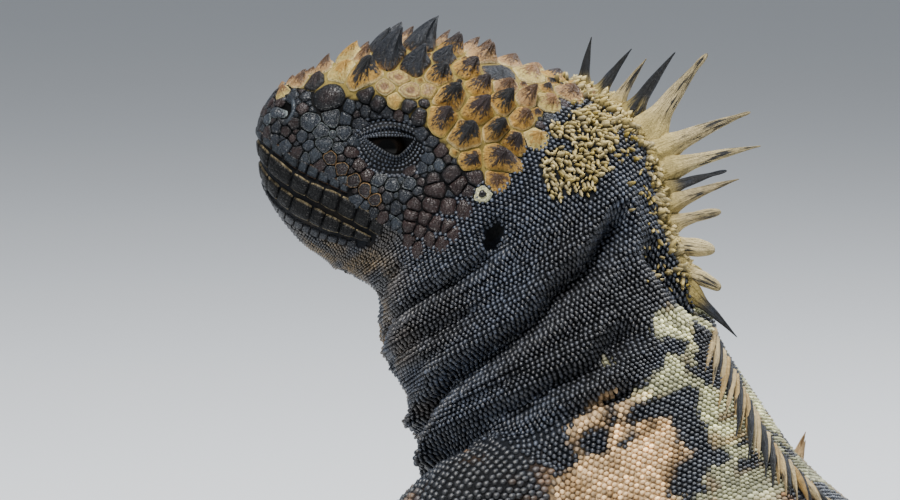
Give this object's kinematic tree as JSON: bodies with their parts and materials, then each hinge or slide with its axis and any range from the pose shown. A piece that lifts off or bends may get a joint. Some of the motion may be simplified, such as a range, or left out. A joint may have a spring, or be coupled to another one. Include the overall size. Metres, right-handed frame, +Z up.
{
  "type": "marine iguana model",
  "caption": "Life-size still model of a marine iguana resting on its belly, chest and head raised, with a spined crest, a knobbed crown and a long tapering tail.",
  "frame": {"origin": "on the floor under the pelvis, where the belly rests", "axes": "+X forwards along the spine at the hips, +Y to the animal's left, +Z up"},
  "size_m": [0.8253, 0.3628, 0.2275],
  "materials": {
    "black_skin": "matte to satin black scaly hide",
    "mottled_skin": "dark hide with tan and grey-green patches",
    "shield_skin": "horny ochre knobs with dark tips over black hide",
    "eye_gloss": "wet dark gloss",
    "claw_horn": "polished black horn"
  },
  "bodies": {
    "root": {"claw_fore_left_1": "claw_horn", "claw_fore_left_2": "claw_horn", "claw_fore_left_3": "claw_horn", "claw_fore_left_4": "claw_horn", "claw_fore_left_5": "claw_horn", "claw_fore_right_1": "claw_horn", "claw_fore_right_2": "claw_horn", "claw_fore_right_3": "claw_horn", "claw_fore_right_4": "claw_horn", "claw_fore_right_5": "claw_horn", "claw_hind_left_1": "claw_horn", "claw_hind_left_2": "claw_horn", "claw_hind_left_3": "claw_horn", "claw_hind_left_4": "claw_horn", "claw_hind_left_5": "claw_horn", "claw_hind_right_1": "claw_horn", "claw_hind_right_2": "claw_horn", "claw_hind_right_3": "claw_horn", "claw_hind_right_4": "claw_horn", "claw_hind_right_5": "claw_horn", "eye_left": "eye_gloss", "eye_right": "eye_gloss", "foot_left": "black_skin", "foot_right": "black_skin", "forearm_left": "black_skin", "forearm_right": "black_skin", "hand_left": "black_skin", "hand_right": "black_skin", "head": "shield_skin", "lower_jaw": "black_skin", "neck": "black_skin", "shank_left": "black_skin", "shank_right": "black_skin", "tail_base": "black_skin", "tail_middle": "black_skin", "tail_tip": "black_skin", "thigh_left": "mottled_skin", "thigh_right": "mottled_skin", "torso_front": "mottled_skin", "torso_rear": "mottled_skin", "upper_arm_left": "mottled_skin", "upper_arm_right": "mottled_skin"}
  },
  "joints": []
}
